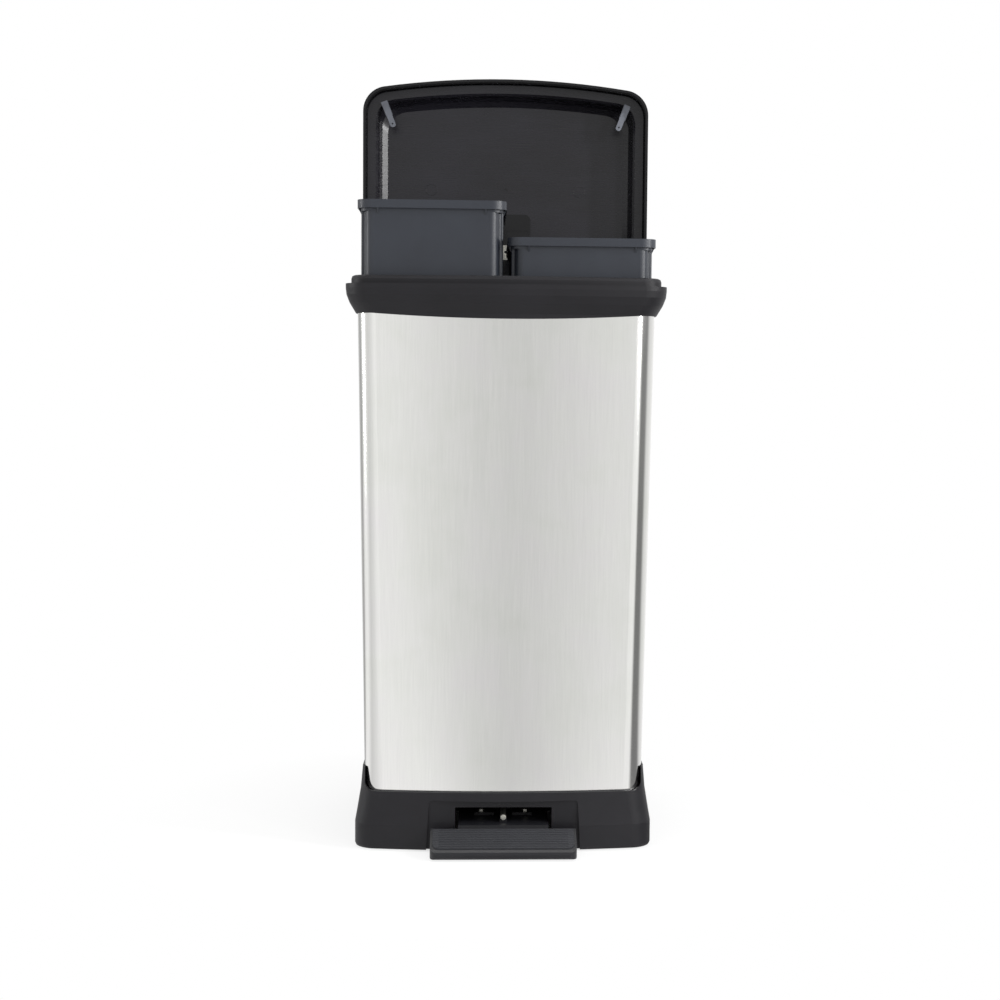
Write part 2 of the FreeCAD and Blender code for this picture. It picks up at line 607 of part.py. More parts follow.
def make_rod_cover():
    """Channel between the buckets and the push rod."""
    z0 = PLATE_TOP + 0.3
    z1 = LEDGE_Z - 40.0
    front = BUCKET_BACK + 2.0
    back = -BODY_FRONT_TOP - BODY_TAPER - BODY_SHEET - 0.6
    outside = block(-12, 12, front, back, z0, z1)
    inside = block(-10.2, 10.2, front + 1.6, back + 1, z0 - 1, z1 + 1)
    return outside.cut(inside)


# ---- pedal, drawn pressed ----
def tread_solid(profile, half, corner):
    """Side profile pushed across the width, corners rounded as seen from above."""
    shape = plate_yz(profile, -half, half)
    lo = min(y for y, _ in profile)
    hi = max(y for y, _ in profile)
    return shape.common(rounded_box(-half, half, lo, hi + 20, -5, 60, corner))


def make_pedal():
    tread = tread_solid([(-143.5, 26.6), (-146.5, 25.2), (-176.0, 11.6), (-179.4, 9.6), (-180.8, 6.8),
                         (-180.4, 3.4), (-178.6, 1.8), (-174.5, 1.6), (-144.0, 14.6)], TREAD_HALF, 10.0)
    hollow = plate_yz([(-147.5, 22.0), (-174.8, 9.4), (-176.4, 5.0), (-176.0, -3.0), (-147.5, -3.0)],
                      -TREAD_HALF + 3, TREAD_HALF - 3)
    tread = tread.cut(hollow)
    stiff = [plate_yz([(-146.5, 24.0), (-177.0, 9.0), (-177.0, 3.0), (-146.5, 15.6)], x - 1, x + 1)
             for x in (-45.0, -15.0, 15.0, 45.0)]
    neck = block(-NECK_HALF, NECK_HALF, -150, -31, NECK_TOP - 4.6, NECK_TOP)
    neck = neck.cut(block(-60, 60, -160, -145.0, 20, 40))
    side = NECK_HALF - 1.5
    walls = [block(sx * side - 1.5, sx * side + 1.5, -126, -31, 21.0, NECK_TOP) for sx in (-1, 1)]
    ramp = plate_yz([(-146.2, 24.8), (-143.5, NECK_TOP), (-140, NECK_TOP), (-140, 22), (-146.2, 20)],
                    -NECK_HALF, NECK_HALF)
    hubs = [bar_x(PEDAL_PIVOT_Y, PEDAL_PIVOT_Z, 6.2, x, x + 12) for x in (-56.0, 44.0)]
    shape = fused(tread, neck, ramp, *walls, *stiff, *hubs)
    saddle = block(-SADDLE_HALF, SADDLE_HALF, -129, -60, NECK_TOP - 1, SADDLE_TOP)
    shape = shape.fuse(saddle).removeSplitter()
    shape = shape.cut(bar_y(0, LEVER_Z, LEVER_ROD_R + 0.02, -160, 60))
    bore = bar_x(PEDAL_PIVOT_Y, PEDAL_PIVOT_Z, PEDAL_PIN_R + BORE_PLAY, -70, 70)
    return shape.cut(bore)


def make_pedal_pad():
    """Ribbed pad on the tread's slope."""
    slope = (25.2 - 11.6) / (176.0 - 146.5)

    def top(y):
        return 25.2 + slope * (y + 146.5)

    lift = 0.05
    low = [(-146.3, top(-146.3) + lift), (-175.2, top(-175.2) + lift)]
    y = -175.2
    high = [(y, top(y) + 1.6)]
    pitch = 3.45
    for n in range(8):
        start = y + 0.6 + n * pitch
        high.append((start, top(start) + 1.6))
        high.append((start + 0.5, top(start + 0.5) + 0.9))
        high.append((start + 1.3, top(start + 1.3) + 0.9))
        high.append((start + 1.8, top(start + 1.8) + 1.6))
    high.append((-146.3, top(-146.3) + 1.6))
    profile = low + high
    return tread_solid(profile, TREAD_HALF - 2.6, 7.4)


def make_lever_rod():
    """Steel rod from the slot in the recess back to the push rod's foot."""
    return bar_y(0, LEVER_Z, LEVER_ROD_R, LEVER_FRONT, ROD_Y + 9.0)


def make_lever_clamp():
    """Yoke over the lever rod: a leg on each side, screwed to the pedal's neck."""
    low = NECK_TOP + 0.02
    legs = [block(x, x + 22, -100, -60, low, NECK_TOP + 3.0) for x in (-32, 10)]
    bridge = block(-32, 32, -74, -60, low, NECK_TOP + 3.0)
    arch = block(-8, 8, -74, -60, low, LEVER_Z + 5.6)
    shape = fused(bridge, arch, *legs)
    room = block(-SADDLE_HALF - 0.02, SADDLE_HALF + 0.02, -110, -50, 20, SADDLE_TOP + 0.02)
    return shape.cut(room).cut(bar_y(0, LEVER_Z, LEVER_ROD_R + 0.02, -110, -50))


def make_clamp_screws():
    """Six-sided heads on the clamp's legs."""
    top = NECK_TOP + 3.02
    heads = []
    for x in (-24.5, 24.5):
        turns = [math.radians(60 * n) for n in range(7)]
        ring = Part.makePolygon([Vec(x + 3.6 * math.cos(t), 3.6 * math.sin(t) - 93.0, top) for t in turns])
        heads.append(prism(ring, 2.6))
    return Part.makeCompound(heads)


def make_pedal_pin():
    return bar_x(PEDAL_PIVOT_Y, PEDAL_PIVOT_Z, PEDAL_PIN_R, -63.0, 63.0)


# ---- buckets, drawn seated and lifted at the end ----
def stepped_wire(z, inset):
    """Plan of a bucket's wall: a front panel narrower than the bucket, with a step on each side."""
    half = BUCKET_HALF - inset
    front = BUCKET_FRONT + inset
    back = BUCKET_BACK - inset
    panel = half - STEP_WIDTH
    shoulder = front + STEP_DEPTH
    r = PANEL_CORNER
    hollow = 3.0
    edge = STEP_WIDTH - hollow
    bend = math.sqrt(0.5)
    corner_m = Vec(panel - r + r * bend, front + r - r * bend, z)
    hollow_m = Vec(panel + hollow - hollow * bend, shoulder - hollow + hollow * bend, z)
    edge_m = Vec(half - edge + edge * bend, shoulder + edge - edge * bend, z)
    back_m = Vec(half - BUCKET_CORNER * (1 - bend), back - BUCKET_CORNER * (1 - bend), z)
    half_path = [
        (Vec(panel - r, front, z), corner_m, Vec(panel, front + r, z)),
        (Vec(panel, shoulder - hollow, z), hollow_m, Vec(panel + hollow, shoulder, z)),
        (Vec(half - edge, shoulder, z), edge_m, Vec(half, shoulder + edge, z)),
        (Vec(half, back - BUCKET_CORNER, z), back_m, Vec(half - BUCKET_CORNER, back, z)),
    ]

    def flip(p):
        return Vec(-p.x, p.y, p.z)

    path = half_path + [(flip(c), flip(b), flip(a)) for a, b, c in reversed(half_path)]
    edges = []
    for here, after in zip(path, path[1:] + path[:1]):
        edges.append(Part.Arc(*here).toShape())
        if (after[0] - here[2]).Length > 1e-6:
            edges.append(Part.makeLine(here[2], after[0]))
    return Part.Wire(edges)


def bucket_body(inset, lift):
    """The bucket's outside (inset 0) or its hollow, whose floor and step are higher by lift."""
    low = SEATED_TOP - BUCKET_HEIGHT + lift
    step_top = STEP_TOP + lift
    levels = [(low, BUCKET_DRAFT + 2.5), (SEATED_TOP - BUCKET_STRAIGHT, 0.0), (step_top, 0.0)]
    if inset == 0:
        levels.insert(1, (low + 5, BUCKET_DRAFT))
    stepped = loft([stepped_wire(z, draft + inset) for z, draft in levels])
    neck = prism(rim_wire(step_top, -inset), SEATED_TOP + 0.5 * lift - step_top)
    return stepped.fuse(neck)


def rim_wire(z, out):
    return rounded_wire(z, 0.0, BUCKET_HALF + out, BUCKET_FRONT - out, BUCKET_BACK + out, BUCKET_CORNER + out)


def rim_gusset(turn, x):
    """Small triangular rib under the rim; turn is the side of the bucket it is on."""
    z = SEATED_TOP - 1.0
    rib = plate_yz([(0.6, z), (-RIM_OUT + 0.4, z), (-RIM_OUT + 0.4, z - RIM_SKIRT + 1.5), (0.6, z - 15.5)],
                   x - 0.8, x + 0.8)
    mid_y = (BUCKET_FRONT + BUCKET_BACK) / 2
    if turn == 0:
        rib.translate(Vec(0, BUCKET_FRONT, 0))
    elif turn == 90:
        rib.rotate(Vec(0, 0, 0), Vec(0, 0, 1), 90)
        rib.translate(Vec(BUCKET_HALF, mid_y, 0))
    else:
        rib.rotate(Vec(0, 0, 0), Vec(0, 0, 1), -90)
        rib.translate(Vec(-BUCKET_HALF, mid_y, 0))
    return rib


def make_bucket():
    """One bucket, seated, its middle at x = 0."""
    shape = bucket_body(0.0, 0.0).cut(bucket_body(BUCKET_WALL, BUCKET_WALL))
    flange = ring_z(rim_wire, SEATED_TOP - BUCKET_WALL, SEATED_TOP, RIM_OUT, -0.5 * BUCKET_WALL)
    skirt = ring_z(rim_wire, SEATED_TOP - RIM_SKIRT, SEATED_TOP, RIM_OUT, RIM_OUT - 1.6)
    ribs = [rim_gusset(turn, along) for turn, along in gusset_places()]
    return fused(shape, flange, skirt, *ribs)


def placed(shape, x, lift):
    shape = shape.copy()
    shape.translate(Vec(x, 0, lift))
    return shape


def main():
    os.makedirs("parts", exist_ok=True)
    bucket = make_bucket()
    nodes = {
        "base": make_base(),
        "feet": make_feet(),
        "body_sleeve": make_body(),
        "collar": make_collar(),
        "hinge_pins": make_hinge_pins(),
        "rod_guide_lower": make_rod_guide(GUIDE_LOW),
        "rod_guide_upper": make_rod_guide(GUIDE_HIGH),
        "rod_cover": make_rod_cover(),
        "pedal_pin": make_pedal_pin(),
        "lid_shell": opened(make_lid_shell()),
        "lid_liner": opened(make_lid_liner()),
        "lid_pegs": opened(make_lid_pegs()),
        "lid_bracket": opened(make_lid_bracket()),
        "lid_lever": opened(make_lid_lever()),
        "lever_pin": opened(make_lever_pin()),
        "push_rod": make_push_rod(),
        "rod_head": make_rod_head(),
        "rod_foot": make_rod_foot(),
        "pedal": make_pedal(),
        "pedal_pad": make_pedal_pad(),
        "lever_rod": make_lever_rod(),
        "lever_clamp": make_lever_clamp(),
        "clamp_screws": make_clamp_screws(),
        "left_bucket": placed(bucket, -BUCKET_X, LEFT_LIFT),
        "right_bucket": placed(bucket, BUCKET_X, RIGHT_LIFT),
    }
    for name, shape in nodes.items():
        shape.exportStep("parts/" + name + ".step")


main()
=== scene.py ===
"""Looks of the double recycling pedal bin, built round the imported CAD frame.

Metres, +Z up, the front faces -Y. Every CAD node keeps its shape and gets its finish here;
what repeats on it is made with Geometry Nodes.
"""
import json
import math

import bpy
from mathutils import Matrix, Vector


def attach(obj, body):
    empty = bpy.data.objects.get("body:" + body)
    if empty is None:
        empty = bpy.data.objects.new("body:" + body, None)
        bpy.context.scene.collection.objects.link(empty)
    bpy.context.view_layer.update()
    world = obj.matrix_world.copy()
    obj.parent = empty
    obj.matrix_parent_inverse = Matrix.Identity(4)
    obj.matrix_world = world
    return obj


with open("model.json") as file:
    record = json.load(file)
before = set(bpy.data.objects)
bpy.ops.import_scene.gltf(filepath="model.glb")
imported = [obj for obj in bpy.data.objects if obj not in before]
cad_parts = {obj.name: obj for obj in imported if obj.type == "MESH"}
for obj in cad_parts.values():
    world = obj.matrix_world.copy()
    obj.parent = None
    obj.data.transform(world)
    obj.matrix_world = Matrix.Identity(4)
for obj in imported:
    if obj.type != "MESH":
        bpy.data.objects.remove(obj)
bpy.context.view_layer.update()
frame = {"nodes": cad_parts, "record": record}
nodes = frame["nodes"]
MM = 0.001


# ---- colours and nodes ----
def srgb(code, alpha=1.0):
    """Linear colour of an sRGB hex value such as 'c8c8c4'."""
    parts = [int(code[i:i + 2], 16) / 255 for i in (0, 2, 4)]
    linear = [c / 12.92 if c <= 0.04045 else ((c + 0.055) / 1.055) ** 2.4 for c in parts]
    return (*linear, alpha)


def add(tree, kind, settings=None, stops=(), **links):
    """Add a node. settings are its attributes, stops a ramp's (place, colour) pairs, links its inputs.

    An input is named with underscores for blanks, or i0, i1 by its number. It takes a value, a socket,
    or a node, whose first output is then linked.
    """
    node = tree.nodes.new(kind)
    for key, value in (settings or {}).items():
        setattr(node, key, value)
    for key, value in links.items():
        numbered = key[0] == "i" and key[1:].isdigit()
        socket = node.inputs[int(key[1:]) if numbered else key.replace("_", " ")]
        if isinstance(value, bpy.types.Node):
            value = value.outputs[0]
        if isinstance(value, bpy.types.NodeSocket):
            tree.links.new(value, socket)
        else:
            socket.default_value = value
    if stops:
        band = node.color_ramp
        while len(band.elements) < len(stops):
            band.elements.new(0.5)
        for element, (place, colour) in zip(band.elements, stops):
            element.position = place
            element.color = colour
    return node


def new_material(name):
    mat = bpy.data.materials.new(name)
    mat.use_nodes = True
    mat.node_tree.nodes.clear()
    return mat, mat.node_tree


def object_mm(tree, stretch=(1.0, 1.0, 1.0)):
    """Object coordinates in millimetres, times stretch."""
    where = add(tree, "ShaderNodeTexCoord")
    size = tuple(s / MM for s in stretch)
    return add(tree, "ShaderNodeMapping", Vector=where.outputs["Object"], Scale=size)


def surface(mat, tree, **look):
    """Close a material with a Principled surface of that look."""
    shader = add(tree, "ShaderNodeBsdfPrincipled", **look)
    add(tree, "ShaderNodeOutputMaterial", Surface=shader)
    return mat


# ---- materials ----
# A noise's Scale is one over the width of its grains in millimetres.
GRAINS = {"From_Min": 0.3, "From_Max": 0.7}   # the band in which nearly all of a noise lies
POLYPROPYLENE_IOR = 1.49


def brushed_steel_sheet():
    """Stainless sheet, brushed from top to bottom and lacquered: satin, with streaks that fade in and out.

    The real scratches are about 0.1 mm apart; here they are 0.9 mm so that they show.
    """
    mat, tree = new_material("brushed_steel_sheet")
    scratches = add(tree, "ShaderNodeTexNoise", Vector=object_mm(tree, (1, 1, 0.012)), Scale=1 / 0.9,
                    Detail=2.0, Roughness=0.55)
    bands = add(tree, "ShaderNodeTexNoise", Vector=object_mm(tree, (1, 1, 0.05)), Scale=1 / 14.0,
                Detail=3.0, Roughness=0.55)
    cloud = add(tree, "ShaderNodeTexNoise", Vector=object_mm(tree), Scale=1 / 95.0, Detail=4.0, Roughness=0.6)
    tint = add(tree, "ShaderNodeValToRGB", i0=cloud,
               stops=[(0.25, srgb("dadbd6")), (0.50, srgb("dfdfdc")), (0.75, srgb("dfdddd"))])
    streak = add(tree, "ShaderNodeMapRange", Value=scratches, To_Min=0.975, To_Max=1.015, **GRAINS)
    soft = add(tree, "ShaderNodeMapRange", Value=bands, To_Min=0.99, To_Max=1.008, **GRAINS)
    both = add(tree, "ShaderNodeMath", {"operation": "MULTIPLY"}, i0=streak, i1=soft)
    colour = add(tree, "ShaderNodeVectorMath", {"operation": "SCALE"}, i0=tint, Scale=both)
    rough = add(tree, "ShaderNodeMapRange", Value=bands, To_Min=0.13, To_Max=0.18, **GRAINS)
    relief = add(tree, "ShaderNodeBump", Strength=0.5, Distance=0.006 * MM, Height=scratches)
    return surface(mat, tree, Base_Color=colour, Roughness=rough, Normal=relief, Metallic=1.0,
                   Anisotropic=0.3, Coat_Weight=0.12, Coat_Roughness=0.25)


def moulded_polypropylene(name, dark, light, roughness, grain_mm, depth_mm, specular=0.5):
    """Injection-moulded polypropylene: a fine even grain from the tool, a little cloudiness in the colour."""
    mat, tree = new_material(name)
    cloud = add(tree, "ShaderNodeTexNoise", Vector=object_mm(tree), Scale=1 / 60.0, Detail=3.0,
                Roughness=0.55)
    grain = add(tree, "ShaderNodeTexNoise", Vector=object_mm(tree), Scale=1 / grain_mm, Detail=2.0,
                Roughness=0.55)
    colour = add(tree, "ShaderNodeValToRGB", i0=cloud, stops=[(0.3, srgb(dark)), (0.7, srgb(light))])
    rough = add(tree, "ShaderNodeMapRange", Value=grain, To_Min=roughness - 0.05, To_Max=roughness + 0.05,
                **GRAINS)
    relief = add(tree, "ShaderNodeBump", Strength=1.0, Distance=depth_mm * MM, Height=grain)
    return surface(mat, tree, Base_Color=colour, Roughness=rough, Normal=relief, IOR=POLYPROPYLENE_IOR,
                   Specular_IOR_Level=specular)


def textured_black_polypropylene():
    """Collar, base and guides: black, spark-eroded tool texture, low gloss."""
    return moulded_polypropylene("textured_black_polypropylene", "131216", "19181c", roughness=0.50,
                                 grain_mm=0.9, depth_mm=0.05, specular=0.3)


def gloss_black_polypropylene():
    """Lid shell and its tab: black from a polished tool, so it mirrors the lights."""
    return moulded_polypropylene("gloss_black_polypropylene", "0b0b0d", "0f0f11", roughness=0.17,
                                 grain_mm=2.5, depth_mm=0.004, specular=0.35)


def grey_polypropylene():
    """Pegs in the lid: mid grey, satin."""
    return moulded_polypropylene("grey_polypropylene", "5f6269", "6c6f78", roughness=0.42,
                                 grain_mm=1.2, depth_mm=0.02)


def pedal_polypropylene():
    """Pedal: black with a fine grain, rubbed a little smoother than the base."""
    return moulded_polypropylene("pedal_polypropylene", "141418", "19191d", roughness=0.42,
                                 grain_mm=1.0, depth_mm=0.04, specular=0.35)


def pad_thermoplastic_rubber():
    """Tread pad: soft moulded rubber, greyer and duller than the pedal."""
    return moulded_polypropylene("pad_thermoplastic_rubber", "1f2025", "26272c", roughness=0.55,
                                 grain_mm=1.1, depth_mm=0.04, specular=0.4)


def lid_liner_polypropylene():
    """Smooth inside face of the lid: semi gloss, with level streaks left by the flow of the melt."""
    mat, tree = new_material("lid_liner_polypropylene")
    streak = add(tree, "ShaderNodeTexNoise", Vector=object_mm(tree, (0.05, 0.4, 1.0)), Scale=1 / 3.2,
                 Detail=3.0, Roughness=0.6)
    cloud = add(tree, "ShaderNodeTexNoise", Vector=object_mm(tree, (0.6, 1, 1)), Scale=1 / 70.0,
                Detail=3.0, Roughness=0.55)
    colour = add(tree, "ShaderNodeValToRGB", i0=cloud, stops=[(0.3, srgb("131216")), (0.7, srgb("1d1c22"))])
    rough = add(tree, "ShaderNodeMapRange", Value=streak, To_Min=0.22, To_Max=0.34, **GRAINS)
    relief = add(tree, "ShaderNodeBump", Strength=1.0, Distance=0.012 * MM, Height=streak)
    return surface(mat, tree, Base_Color=colour, Roughness=rough, Normal=relief, IOR=POLYPROPYLENE_IOR,
                   Specular_IOR_Level=0.45)


def bucket_polypropylene():
    """Dark blue-grey polypropylene, semi gloss, with faint upright rubbing marks from nesting."""
    mat, tree = new_material("bucket_polypropylene")
    rubbing = add(tree, "ShaderNodeTexNoise", Vector=object_mm(tree, (1, 1, 0.04)), Scale=1 / 2.4,
                  Detail=3.0, Roughness=0.55)
    cloud = add(tree, "ShaderNodeTexNoise", Vector=object_mm(tree), Scale=1 / 80.0, Detail=3.0,
                Roughness=0.55)
    colour = add(tree, "ShaderNodeValToRGB", i0=cloud, stops=[(0.3, srgb("23262e")), (0.7, srgb("292d35"))])
    rough = add(tree, "ShaderNodeMapRange", Value=rubbing, To_Min=0.36, To_Max=0.47, **GRAINS)
    relief = add(tree, "ShaderNodeBump", Strength=1.0, Distance=0.012 * MM, Height=rubbing)
    return surface(mat, tree, Base_Color=colour, Roughness=rough, Normal=relief, IOR=POLYPROPYLENE_IOR)


def galvanised_steel():
    """Drawn steel with a zinc coat: pale, with soft spangles 2.5 mm wide."""
    mat, tree = new_material("galvanised_steel")
    spangle = add(tree, "ShaderNodeTexVoronoi", {"feature": "F1"}, Vector=object_mm(tree), Scale=1 / 2.5)
    grain = add(tree, "ShaderNodeTexNoise", Vector=object_mm(tree), Scale=1 / 0.8, Detail=2.0, Roughness=0.55)
    shade = add(tree, "ShaderNodeValToRGB", i0=spangle.outputs["Color"],
                stops=[(0.2, srgb("a9a8a2")), (0.8, srgb("c9c7bd"))])
    rough = add(tree, "ShaderNodeMapRange", Value=grain, To_Min=0.32, To_Max=0.5, **GRAINS)
    relief = add(tree, "ShaderNodeBump", Strength=1.0, Distance=0.01 * MM, Height=grain)
    return surface(mat, tree, Base_Color=shade, Roughness=rough, Normal=relief, Metallic=1.0)


def foot_rubber():
    """Black rubber, dull, slightly dusty."""
    mat, tree = new_material("foot_rubber")
    dust = add(tree, "ShaderNodeTexNoise", Vector=object_mm(tree), Scale=1 / 4.0, Detail=4.0, Roughness=0.55)
    colour = add(tree, "ShaderNodeValToRGB", i0=dust, stops=[(0.35, srgb("1b1b1c")), (0.75, srgb("2c2b2b"))])
    relief = add(tree, "ShaderNodeBump", Strength=1.0, Distance=0.04 * MM, Height=dust)
    return surface(mat, tree, Base_Color=colour, Roughness=0.8, Normal=relief, IOR=1.5)


def make_finishes():
    """Material for every slot of the record."""
    return {
        "silver_body": brushed_steel_sheet(),
        "black_plastic": textured_black_polypropylene(),
        "lid_gloss": gloss_black_polypropylene(),
        "lid_liner": lid_liner_polypropylene(),
        "bucket_grey": bucket_polypropylene(),
        "peg_grey": grey_polypropylene(),
        "pedal_plastic": pedal_polypropylene(),
        "pad_rubber": pad_thermoplastic_rubber(),
        "galvanised_steel": galvanised_steel(),
        "foot_rubber": foot_rubber(),
    }


def dress_cad(finishes):
    """Give every CAD node the material of its slot."""
    for part in frame["record"]["subparts"]:
        mesh = nodes[part["node"]].data
        mesh.materials.clear()
        mesh.materials.append(finishes[part["material_slot"]])


# ---- what repeats, made with Geometry Nodes ----
PANEL_Y = 0.1761           # face of the liner's panel, lid open
RING_X = 0.0916            # ejector rings, level with the gate
RING_Z = 0.7485
RING_RADIUS = 0.0069
RING_BEAD = 0.0003
RING_SIDES = 48
BEAD_SIDES = 12
RIB_COUNT = 8
RIB_PITCH = 0.00345        # ribs of the tread pad, along Y
RIB_FIRST_Y = -0.171975
RIB_SLOPE = 0.461017       # rise of the pad per metre along Y
RIB_BEAD = 0.00055
RIB_HALF = 0.0700
PAD_TOP_Y = -0.1465        # a point of the pad's top
PAD_TOP_Z = 0.0268
SOCKETS = {int: "NodeSocketInt", float: "NodeSocketFloat", tuple: "NodeSocketVector"}


def ring_path(tree, given):
    """Upright circle that faces the front."""
    circle = add(tree, "GeometryNodeCurvePrimitiveCircle", Resolution=RING_SIDES, Radius=given["Ring radius"])
    return add(tree, "GeometryNodeTransform", Geometry=circle, Rotation=(math.pi / 2, 0.0, 0.0))


def rib_path(tree, given):
    """Level line across the bin."""
    left = add(tree, "ShaderNodeMath", {"operation": "MULTIPLY"}, i0=given["Half length"], i1=-1.0)
    start = add(tree, "ShaderNodeCombineXYZ", X=left)
    end = add(tree, "ShaderNodeCombineXYZ", X=given["Half length"])
    return add(tree, "GeometryNodeCurvePrimitiveLine", Start=start, End=end)


def bead_row(name, path, finish, sizes):
    """Round beads along a path, one for each step of a row, as one mesh.

    sizes holds Count, Start, Step and Bead radius, and what the path asks for.
    """
    tree = bpy.data.node_groups.new(name, "GeometryNodeTree")
    tree.interface.new_socket("Geometry", in_out="OUTPUT", socket_type="NodeSocketGeometry")
    made = {label: tree.interface.new_socket(label, in_out="INPUT", socket_type=SOCKETS[type(value)])
            for label, value in sizes.items()}
    given = add(tree, "NodeGroupInput").outputs
    places = add(tree, "GeometryNodeMeshLine", {"mode": "OFFSET"}, Count=given["Count"],
                 Start_Location=given["Start"], Offset=given["Step"])
    section = add(tree, "GeometryNodeCurvePrimitiveCircle", Resolution=BEAD_SIDES,
                  Radius=given["Bead radius"])
    bead = add(tree, "GeometryNodeCurveToMesh", Curve=path(tree, given), Profile_Curve=section,
               Fill_Caps=True)
    row = add(tree, "GeometryNodeInstanceOnPoints", Points=places, Instance=bead)
    real = add(tree, "GeometryNodeRealizeInstances", Geometry=row)
    coated = add(tree, "GeometryNodeSetMaterial", Geometry=real, Material=finish)
    add(tree, "NodeGroupOutput", Geometry=coated)

    obj = bpy.data.objects.new(name, bpy.data.meshes.new(name))
    bpy.context.scene.collection.objects.link(obj)
    modifier = obj.modifiers.new(name, "NODES")
    modifier.node_group = tree
    for label, value in sizes.items():
        modifier[made[label].identifier] = value
    bpy.context.view_layer.update()
    plain = bpy.data.meshes.new_from_object(obj.evaluated_get(bpy.context.evaluated_depsgraph_get()))
    obj.modifiers.clear()
    obj.data = plain
    plain.name = name
    return obj


def make_liner_rings(finishes):
    """Two faint rings that the ejector pins left in the liner."""
    rings = bead_row("liner_rings", ring_path, finishes["lid_liner"], {
        "Count": 2,
        "Start": (-RING_X, PANEL_Y, RING_Z),
        "Step": (2 * RING_X, 0.0, 0.0),
        "Bead radius": RING_BEAD,
        "Ring radius": RING_RADIUS,
    })
    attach(rings, "lid")


def make_pad_ribs(finishes):
    """Round ribs on the flats between the tread pad's grooves."""
    first_z = PAD_TOP_Z + RIB_SLOPE * (RIB_FIRST_Y - PAD_TOP_Y)
    ribs = bead_row("pad_ribs", rib_path, finishes["pad_rubber"], {
        "Count": RIB_COUNT,
        "Start": (0.0, RIB_FIRST_Y, first_z),
        "Step": (0.0, RIB_PITCH, RIB_SLOPE * RIB_PITCH),
        "Bead radius": RIB_BEAD,
        "Half length": RIB_HALF,
    })
    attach(ribs, "pedal_lever")


# ---- stage: floor, studio and camera ----
FLOOR_RADIUS = 9.0
FLOOR_SIDES = 96
CAMERA_X = -0.0189
CAMERA_Y = -2.0525         # 1.9 m in front of the collar
CAMERA_Z = 0.5192
PITCH = 3.973              # degrees below level
YAW = -2.875
ROLL = 0.575
FOCAL_PX = 1775.5
FRAME_PX = 1000.0
SENSOR_MM = 36.0
SHIFT_X = -0.0771
ROOM_STRENGTH = 1.12
# Greys of the room (degrees from the front, towards +X; grey), as the metal mirrors them.
ROOM_GREYS = [
    (-180, 0.92), (-150, 0.62), (-122, 0.36), (-108, 0.95), (-88, 1.0), (-70, 0.72), (-46, 0.86),
    (-30, 1.02), (-18, 0.94), (-8, 0.78), (2, 0.68), (10, 0.75), (22, 0.87), (34, 0.98), (48, 1.0),
    (56, 0.20), (84, 0.22), (100, 0.78), (140, 0.95), (180, 0.92),
]


def room_tones(tree, axes):
    """Grey of the room in the direction of the separated X and Y of axes."""
    back = add(tree, "ShaderNodeMath", {"operation": "MULTIPLY"}, i0=axes.outputs["Y"], i1=-1.0)
    turn = add(tree, "ShaderNodeMath", {"operation": "ARCTAN2"}, i0=axes.outputs["X"], i1=back)
    share = add(tree, "ShaderNodeMapRange", Value=turn, From_Min=-math.pi, From_Max=math.pi,
                To_Min=0.0, To_Max=1.0)
    greys = add(tree, "ShaderNodeValToRGB", i0=share,
                stops=[(0.5 + degrees / 360.0, (grey, grey, grey, 1)) for degrees, grey in ROOM_GREYS])
    return add(tree, "ShaderNodeVectorMath", {"operation": "SCALE"}, i0=greys, Scale=ROOM_STRENGTH)


def floor_paper():
    """White paper: dark under the bin, shaded near it and plain white further out.

    Seen in the metal it has the tones of the room round it.
    """
    mat, tree = new_material("studio_floor_paper")
    where = add(tree, "ShaderNodeTexCoord")
    away = add(tree, "ShaderNodeVectorMath", {"operation": "LENGTH"}, i0=where.outputs["Object"])
    under = add(tree, "ShaderNodeMapRange", Value=away.outputs["Value"], From_Min=0.10, From_Max=0.17,
                To_Min=0.0, To_Max=0.80)
    beyond = add(tree, "ShaderNodeMapRange", Value=away.outputs["Value"], From_Min=0.17, From_Max=0.45,
                 To_Min=0.0, To_Max=0.20)
    share = add(tree, "ShaderNodeMath", {"operation": "ADD"}, i0=under, i1=beyond)
    seen = add(tree, "ShaderNodeLightPath").outputs
    direct = add(tree, "ShaderNodeMath", {"operation": "MAXIMUM"}, i0=seen["Is Camera Ray"],
                 i1=seen["Is Glossy Ray"])
    weight = add(tree, "ShaderNodeMath", {"operation": "MULTIPLY"}, i0=share, i1=direct)
    axes = add(tree, "ShaderNodeSeparateXYZ", i0=where.outputs["Object"])
    paper = add(tree, "ShaderNodeBsdfDiffuse", Color=(0.93, 0.93, 0.93, 1))
    white = add(tree, "ShaderNodeEmission", Color=(1, 1, 1, 1), Strength=1.0)
    mirrored = add(tree, "ShaderNodeEmission", Color=room_tones(tree, axes), Strength=1.0)
    glow = add(tree, "ShaderNodeMixShader", i0=seen["Is Glossy Ray"], i1=white, i2=mirrored)
    mix = add(tree, "ShaderNodeMixShader", i0=weight, i1=paper, i2=glow)
    add(tree, "ShaderNodeOutputMaterial", Surface=mix)
    return mat


def make_floor():
    """Plain round floor."""
    turns = [2 * math.pi * i / FLOOR_SIDES for i in range(FLOOR_SIDES)]
    rim = [(FLOOR_RADIUS * math.cos(turn), FLOOR_RADIUS * math.sin(turn), 0) for turn in turns]
    mesh = bpy.data.meshes.new("studio_floor")
    mesh.from_pydata(rim, [], [list(range(FLOOR_SIDES))])
    mesh.materials.append(floor_paper())
    floor = bpy.data.objects.new("studio_floor", mesh)
    bpy.context.scene.collection.objects.link(floor)


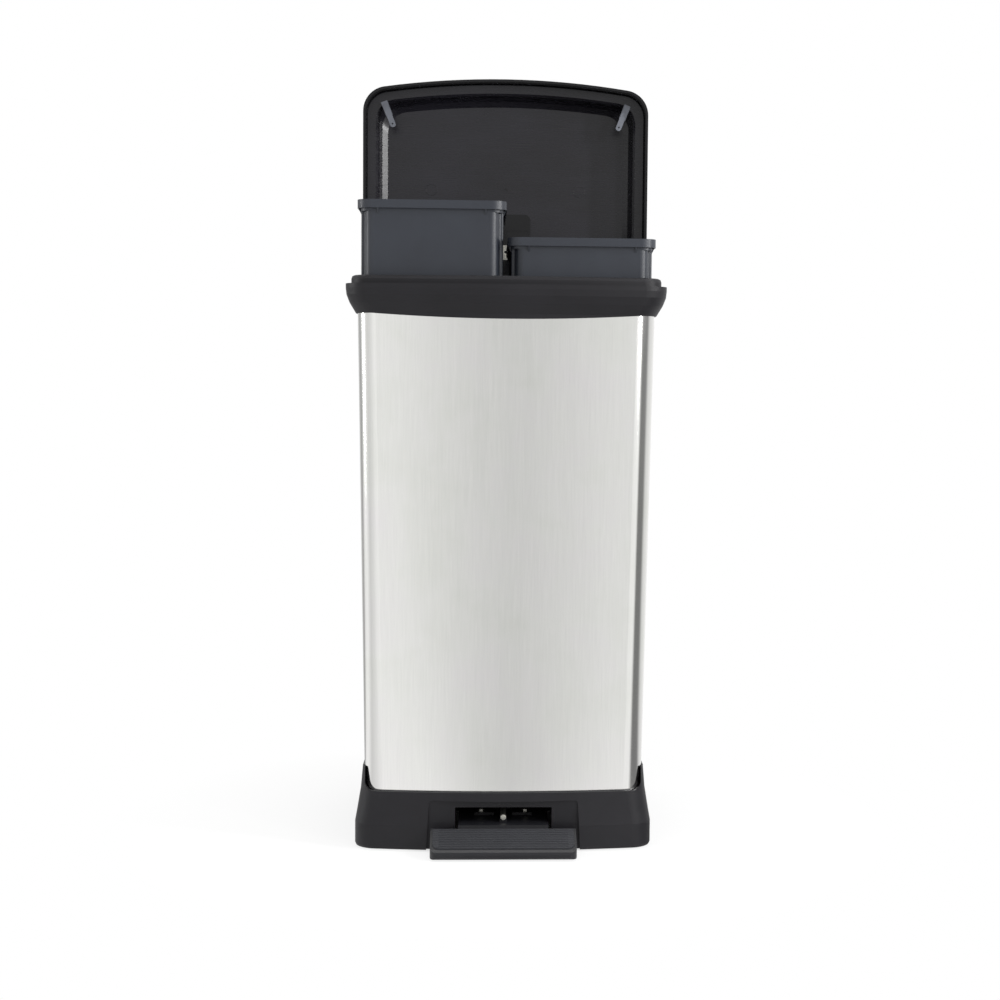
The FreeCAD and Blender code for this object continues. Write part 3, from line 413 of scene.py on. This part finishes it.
def make_studio():
    """White room round the bin, with greyer stretches at the sides that edge the metal."""
    world = bpy.data.worlds.new("studio")
    bpy.context.scene.world = world
    world.use_nodes = True
    tree = world.node_tree
    tree.nodes.clear()
    where = add(tree, "ShaderNodeTexCoord")
    axes = add(tree, "ShaderNodeSeparateXYZ", i0=where.outputs["Generated"])
    seen = add(tree, "ShaderNodeLightPath").outputs
    glossy = add(tree, "ShaderNodeBackground", Color=room_tones(tree, axes), Strength=1.0)
    diffuse = add(tree, "ShaderNodeBackground", Color=(1, 1, 1, 1), Strength=0.5)
    white = add(tree, "ShaderNodeBackground", Color=(1, 1, 1, 1), Strength=1.0)
    lit = add(tree, "ShaderNodeMixShader", i0=seen["Is Glossy Ray"], i1=diffuse, i2=glossy)
    shown = add(tree, "ShaderNodeMixShader", i0=seen["Is Camera Ray"], i1=lit, i2=white)
    add(tree, "ShaderNodeOutputWorld", Surface=shown)


def softbox(name, place, aim, width, height, watts):
    """Rectangular light at place, turned towards aim."""
    lamp = bpy.data.lights.new(name, "AREA")
    lamp.shape = "RECTANGLE"
    lamp.size = width
    lamp.size_y = height
    lamp.energy = watts
    box = bpy.data.objects.new(name, lamp)
    box.location = place
    box.rotation_euler = (Vector(aim) - Vector(place)).to_track_quat("-Z", "Y").to_euler()
    bpy.context.scene.collection.objects.link(box)


def make_lights():
    body = (0, 0, 0.6)
    softbox("strip_left", place=(-2.4, 0.1, 1.1), aim=body, width=0.22, height=1.7, watts=16)
    softbox("strip_right", place=(1.75, -1.95, 1.2), aim=body, width=0.16, height=1.5, watts=15)
    softbox("lid_kicker", place=(1.5, -0.75, 1.15), aim=(-0.15, 0.15, 0.78), width=0.10, height=0.7, watts=22)
    softbox("softbox_top", place=(0.0, -0.6, 2.6), aim=body, width=1.6, height=1.2, watts=24)


def make_camera():
    """Camera at the photograph's place and angle."""
    data = bpy.data.cameras.new("camera")
    data.sensor_width = SENSOR_MM
    data.lens = FOCAL_PX / FRAME_PX * SENSOR_MM
    data.shift_x = SHIFT_X
    camera = bpy.data.objects.new("camera", data)
    turn = (Matrix.Rotation(math.radians(YAW), 4, "Z") @ Matrix.Rotation(math.radians(90 - PITCH), 4, "X")
            @ Matrix.Rotation(math.radians(ROLL), 4, "Z"))
    camera.matrix_world = Matrix.Translation((CAMERA_X, CAMERA_Y, CAMERA_Z)) @ turn
    bpy.context.scene.collection.objects.link(camera)
    bpy.context.scene.camera = camera


def main():
    finishes = make_finishes()
    dress_cad(finishes)
    make_liner_rings(finishes)
    make_pad_ribs(finishes)
    make_floor()
    make_studio()
    make_lights()
    make_camera()
    bpy.context.scene.view_settings.view_transform = "Standard"


main()
